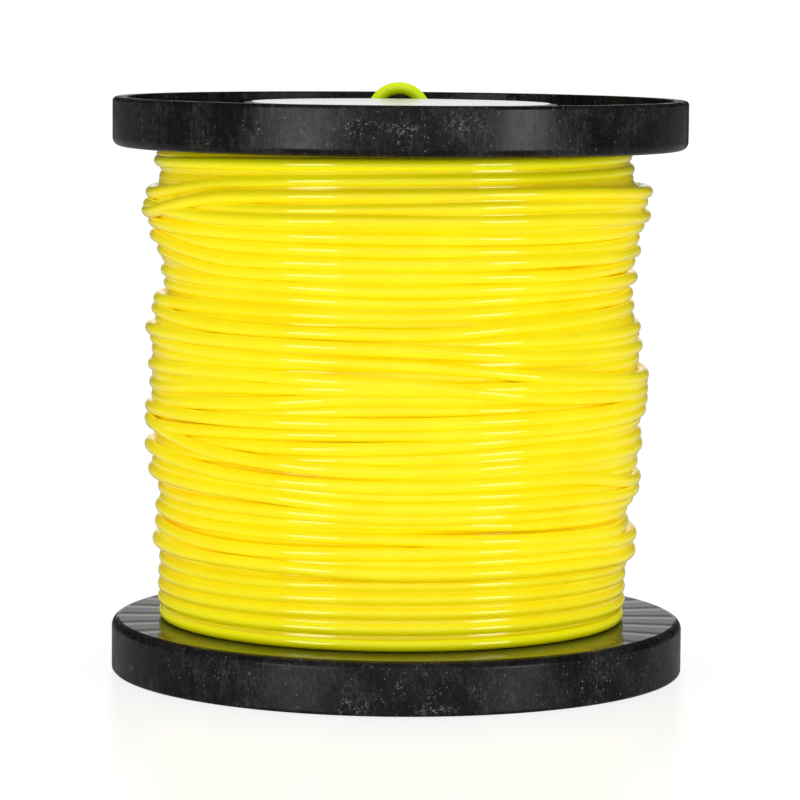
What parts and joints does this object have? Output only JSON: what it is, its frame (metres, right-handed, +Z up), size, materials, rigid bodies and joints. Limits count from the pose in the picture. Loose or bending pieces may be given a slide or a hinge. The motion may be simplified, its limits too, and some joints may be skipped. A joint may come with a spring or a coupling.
{
  "type": "spool of trimmer line",
  "caption": "Black plastic spool with tall flange rims, wound full of round yellow nylon trimmer line whose end is looped through the top flange, with a plain round label.",
  "frame": {"origin": "on the ground, under the middle of the bottom flange", "axes": "+Z up along the spool's axis, -Y towards the viewer, +X to the viewer's right"},
  "size_m": [0.106, 0.106, 0.1081],
  "materials": {
    "black_plastic": "satin",
    "yellow_line": "gloss",
    "white_label": "gloss"
  },
  "bodies": {
    "root": {"spool": "black_plastic", "trimmer_line": "yellow_line", "label_disc": "white_label"}
  },
  "joints": []
}
